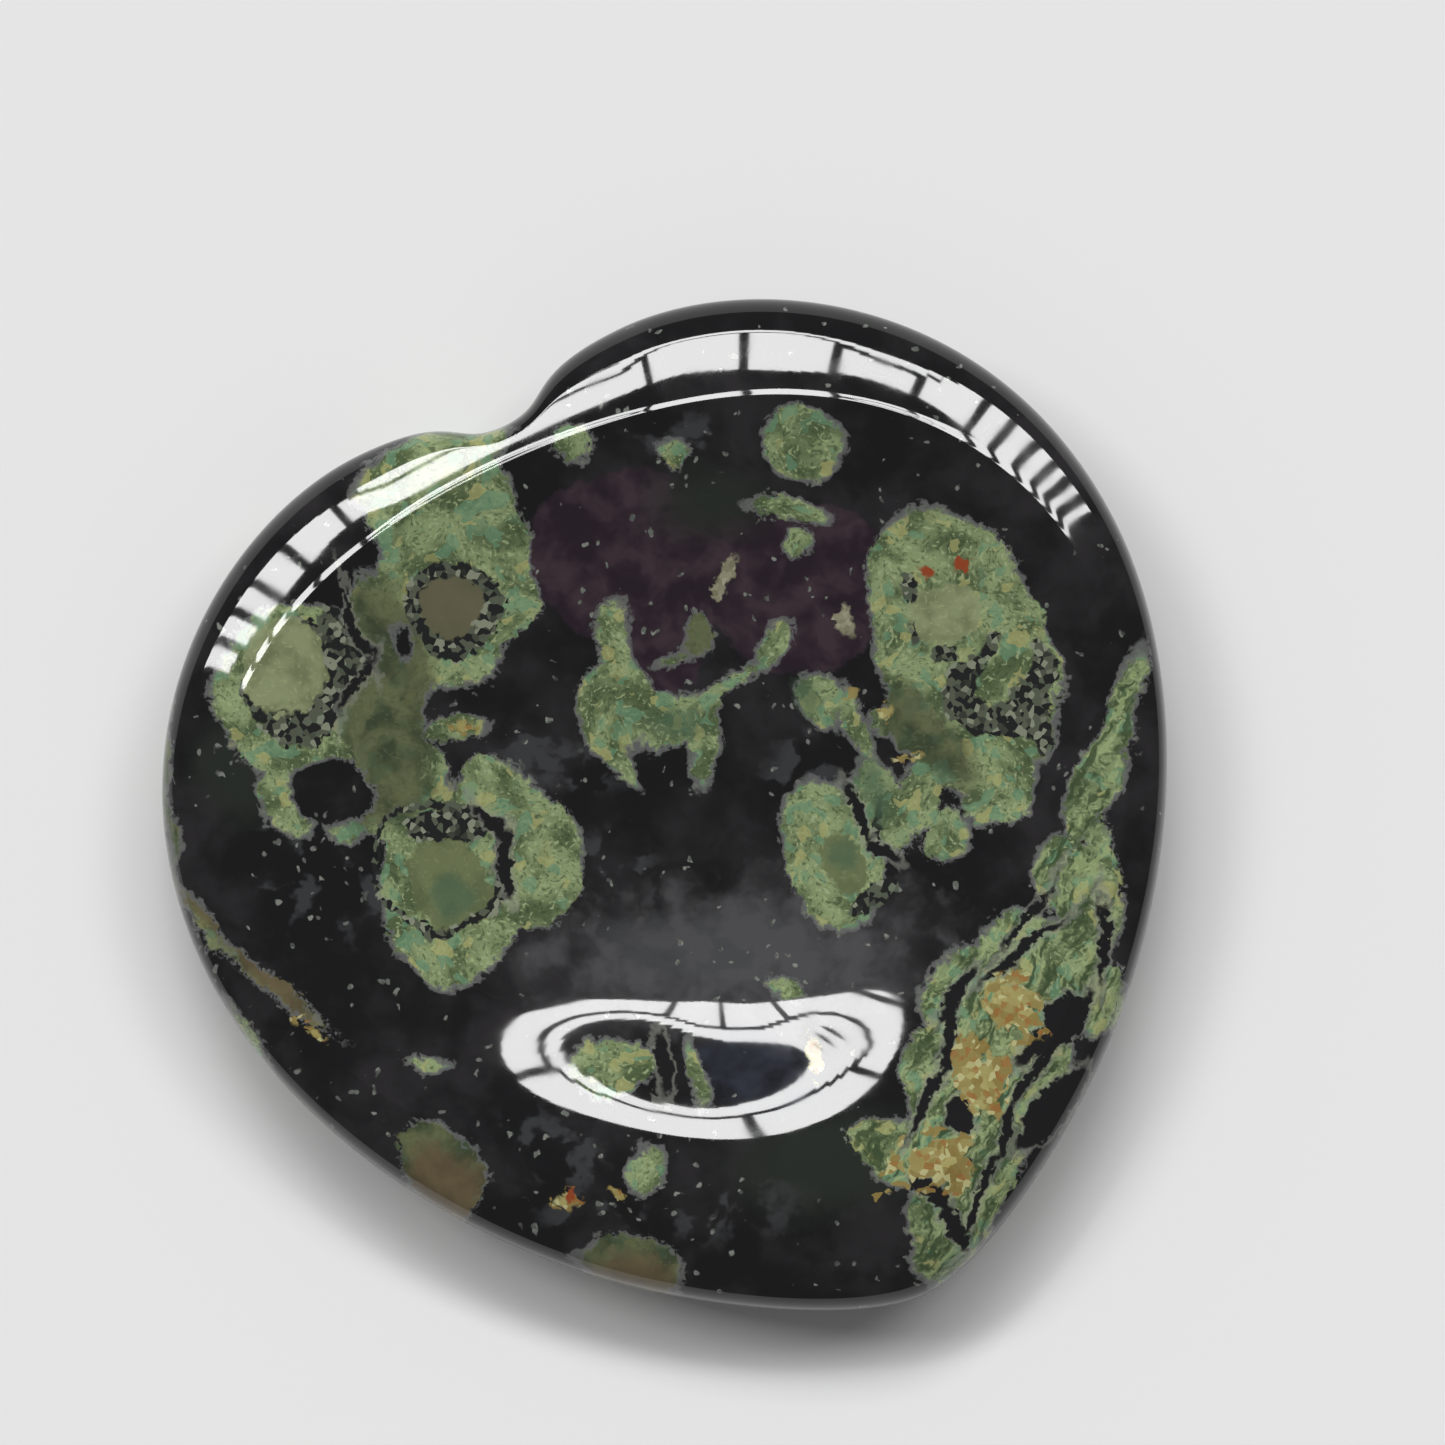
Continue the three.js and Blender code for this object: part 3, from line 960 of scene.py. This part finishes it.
# %% [markdown]
# ### Streaks and gold
# The wedge on the right is layered: black layers run down through it, each with a thin pale skin, and
# between them crystals of gold-brown have grown. A few more such crystals and three red ones lie about.

# %% Black layers
LAYER_SKIN = 0.12  # thickness in mm


def with_layers(rock, jasper):
    layers = together(rock.nearest(CRACKS), rock.nearest(LAYERS))
    if layers is FAR:
        return jasper
    jasper = paint(jasper, seen(140, 142, 132), inside(layers - LAYER_SKIN, 0.04) * 0.45)
    rock.give_way(layers)
    return paint(jasper, seen(26, 26, 28), inside(layers, 0.04))


# %% Gold, red and cream crystals
def with_crystals(rock, jasper):
    gold = paint(seen(140, 118, 62), seen(186, 178, 116), rock.facet)
    gold = paint(gold, seen(208, 206, 152), from_to(rock.grain, 0.82, 0.86) * 0.7)
    gold = paint(gold, seen(160, 104, 52), from_to(rock.grain + rock.cloud * 0.4, 0.38, 0.3) * 0.7)
    jagged = rock.facet - 0.45
    clusters = together(rock.nearest(GOLD) + jagged * 0.8, rock.nearest(SMALL_GOLD) + jagged * 0.25)
    jasper = paint(jasper, gold, inside(clusters, 0.06) * 0.9)
    jasper = paint(jasper, seen(150, 70, 36), inside(rock.nearest(RED), 0.05))
    cream = paint(seen(120, 118, 92), seen(168, 164, 140), rock.grain)
    return paint(jasper, cream, inside(rock.nearest(CREAM), 0.06))


# %% [markdown]
# ## The polish
# The stone is tumbled and buffed to a mirror, with just a breath of waviness left, which frays the
# edges of what it mirrors. So the surface is smooth and uncoated, and a bump far too low to see as a
# form does the rest.

# %% Polished surface
STONE_IOR = 1.54
RIPPLE_SIZE = 1.2 * MM
RIPPLE_HEIGHT = 0.0012 * MM
LEAST_ROUGHNESS = 0.03
ROUGHNESS_SPREAD = 0.02


def polish(rock, jasper, shader):
    ripple = noise(rock.coordinates, RIPPLE_SIZE, 0.0)
    bump = {"Height": ripple, "Strength": 1.0, "Distance": RIPPLE_HEIGHT}
    surface = Shade.node("ShaderNodeBump", {}, bump, "Normal")
    roughness = LEAST_ROUGHNESS + from_to(rock.cloud, 0.4, 0.7) * ROUGHNESS_SPREAD
    for name, value in (("Base Color", jasper), ("Roughness", roughness), ("Normal", surface)):
        Shade.tree.links.new(value.socket, shader.inputs[name])
    shader.inputs["IOR"].default_value = STONE_IOR


# %% Four quarters
def quarter_material(name, right, up):
    """The whole recipe, for one quarter of the stone."""
    material = bpy.data.materials.new(name)
    material.use_nodes = True
    Shade.tree = material.node_tree
    rock = Rock(right, up)
    grow_green_bodies(rock)
    grow_deep_orbs(rock)
    black = with_specks(rock, black_rock(rock))
    green = deeper_colours(rock, vein_needles(rock, felt(rock)))
    jasper = with_green(rock, black, green)
    jasper = with_cores(rock, with_rings(rock, jasper, green))
    jasper = with_crystals(rock, with_layers(rock, jasper))
    polish(rock, jasper, material.node_tree.nodes["Principled BSDF"])
    print(name, "nodes:", len(material.node_tree.nodes))
    return material


def quarter_of(place):
    """Number of the quarter that a place lies in, 0 to 3."""
    turned = Vector((place.x, place.y)) / MM
    turned.rotate(Matrix.Rotation(PHOTO_TURN, 2))
    return int(turned.x > QUARTER_MIDDLE[0]) + 2 * int(turned.y > QUARTER_MIDDLE[1])


for number in range(4):
    right, up = (-1, 1)[number % 2], (-1, 1)[number // 2]
    stone.data.materials.append(quarter_material(f"kambaba_jasper_{number + 1}", right, up))
for face in stone.data.polygons:
    face.material_index = quarter_of(face.center)

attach(stone, "root")
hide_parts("stone")

# %% [markdown]
# ## Camera
# The photo looks straight down on the stone through a long lens, so brow and base are drawn at almost
# one scale. The stone stays square to the axes, with its notch along +Y, and the camera is turned
# instead. Its distance follows from the lens and from how much of the stone's plane it takes in.

# %% Camera
LENS = 200.0
SENSOR = 36.0
FRAME_WIDTH = 57.8 * MM
FRAME_MIDDLE = Vector((2.65, 4.08)) * MM
CLIP_START = 10 * MM


def add_camera():
    distance = FRAME_WIDTH * LENS / SENSOR
    place = (FRAME_MIDDLE.x, FRAME_MIDDLE.y, GIRTH_HEIGHT + distance)
    bpy.ops.object.camera_add(location=place, rotation=(0, 0, -PHOTO_TURN))
    camera = bpy.context.object
    camera.data.lens = LENS
    camera.data.sensor_width = SENSOR
    camera.data.clip_start = CLIP_START
    bpy.context.scene.camera = camera
    return camera


camera = add_camera()
print("camera height, mm:", round(camera.location.z / MM, 1))

# %% [markdown]
# ## Floor
# A plain pale floor carries the stone. It is matt, so the only mirror in the scene is the stone.

# %% Floor
FLOOR_SIZE = 4.0
FLOOR_GREY = 0.95
FLOOR_ROUGHNESS = 0.9


def add_floor():
    bpy.ops.mesh.primitive_plane_add(size=FLOOR_SIZE)
    floor = bpy.context.object
    floor.name = "floor"
    finish = bpy.data.materials.new("pale_floor")
    finish.use_nodes = True
    shader = finish.node_tree.nodes["Principled BSDF"]
    shader.inputs["Base Color"].default_value = (FLOOR_GREY, FLOOR_GREY, FLOOR_GREY, 1)
    shader.inputs["Roughness"].default_value = FLOOR_ROUGHNESS
    floor.data.materials.append(finish)
    return floor


floor = add_floor()
print("floor, metres:", tuple(round(side, 2) for side in floor.dimensions))

# %% [markdown]
# ## Window light
# A polished black stone looks like what it mirrors. Here that is a bow of tall window panes, with
# low panes under its middle. The land bulges, so it shows the bow as a bright band along the lobes.
# The dish is a hollow mirror and draws the same bow together into a closed ring near the tip, with
# the low panes as a second ring inside it. Each pane is made of upright area lights, and the gaps
# between panes are the window's bars. Heights are given for each metre that a pane is away from the
# stone, because that is what a reflection shows.

# %% Shape of the bow
# Azimuths are in degrees from the photo's up towards its right, and widths are in degrees too.
WINDOW_DISTANCE = 1.5
BARS = (-72, -67, -62, -57, -50, -39, -21, -2, 13, 27, 38, 43, 48, 52, 55, 58, 61)
BAR_WIDTH = 1.7
BOW_DROP = 0.6  # the panes get lower towards the ends of the bow
# An azimuth, then the foot of the low panes, the foot of the panes and the head of the panes there
BOW = (
    (-75, 1.31, 1.36, 2.12), (-58, 1.31, 1.36, 2.10), (-50, 1.31, 1.38, 2.02), (-42, 1.40, 1.52, 1.88),
    (-36, 1.46, 1.58, 1.82), (-27, 1.45, 1.60, 1.82), (-20, 1.27, 1.50, 1.84), (-13, 1.24, 1.40, 1.85),
    (-3, 1.21, 1.38, 1.91), (5, 1.25, 1.41, 1.94), (15, 1.45, 1.57, 1.85), (20, 1.50, 1.62, 1.84),
    (28, 1.50, 1.62, 1.84), (33, 1.33, 1.40, 1.87), (44, 1.31, 1.36, 1.95), (62, 1.31, 1.36, 1.97),
)
LOW_PANES = -33, 30
LOW_BAR = 0.042  # between the low panes and the panes
SECTION_MOST = 2.5


def pane_edges(azimuth):
    """Foot of the low panes, foot of the panes and head of the panes at an azimuth."""
    for (start, *low), (end, *high) in zip(BOW, BOW[1:]):
        if azimuth <= end:
            break
    share = (azimuth - start) / (end - start)
    return [a + (b - a) * share for a, b in zip(low, high)]


def sections(left, right):
    """Cuts a pane into upright strips, so that its edges can follow the bow."""
    count = math.ceil((right - left) / SECTION_MOST)
    cuts = [left + (right - left) * i / count for i in range(count + 1)]
    return list(zip(cuts, cuts[1:]))


widest = max(zip(BARS, BARS[1:]), key=lambda pane: pane[1] - pane[0])
print("panes:", len(BARS) - 1, "widest:", widest, "sections of it:", len(sections(*widest)))

# %% Lights of the bow
WINDOW_RADIANCE = 17.0


def add_light(left, right, foot, head, name):
    """An upright light that faces the stone, between two azimuths."""
    azimuth = math.radians((left + right) / 2)
    drop = math.cos(BOW_DROP * azimuth)
    low, high = foot * drop * WINDOW_DISTANCE, head * drop * WINDOW_DISTANCE
    width = 2 * WINDOW_DISTANCE * math.tan(math.radians(right - left) / 2)
    bearing = azimuth + PHOTO_TURN
    across, along = WINDOW_DISTANCE * math.sin(bearing), WINDOW_DISTANCE * math.cos(bearing)
    bpy.ops.object.light_add(type="AREA", location=(across, along, (low + high) / 2))
    light = bpy.context.object
    light.name = name
    light.rotation_euler = (-math.pi / 2, 0, -bearing)
    light.data.shape = "RECTANGLE"
    light.data.size = width
    light.data.size_y = high - low
    light.data.energy = WINDOW_RADIANCE * math.pi * width * (high - low)


def add_bow():
    for number, (left, right) in enumerate(zip(BARS, BARS[1:])):
        for start, end in sections(left + BAR_WIDTH / 2, right - BAR_WIDTH / 2):
            _, foot, head = pane_edges((start + end) / 2)
            add_light(start, end, foot, head, f"pane_{number + 1}")
    for start, end in sections(*LOW_PANES):
        low_foot, foot, _ = pane_edges((start + end) / 2)
        add_light(start, end, low_foot, foot - LOW_BAR, "low_pane")


add_bow()

# %% [markdown]
# The rest of the room is dim, so that the black stays black, and it is the same on all sides: the
# world's own light gives that.

# %% Dim room
ROOM_LIGHT = 0.15


def light_room():
    world = bpy.data.worlds.new("room")
    world.use_nodes = True
    background = world.node_tree.nodes["Background"]
    background.inputs["Color"].default_value = (1, 1, 1, 1)
    background.inputs["Strength"].default_value = ROOM_LIGHT
    bpy.context.scene.world = world


light_room()
bpy.context.scene.view_settings.view_transform = "Standard"
print("room light:", ROOM_LIGHT)
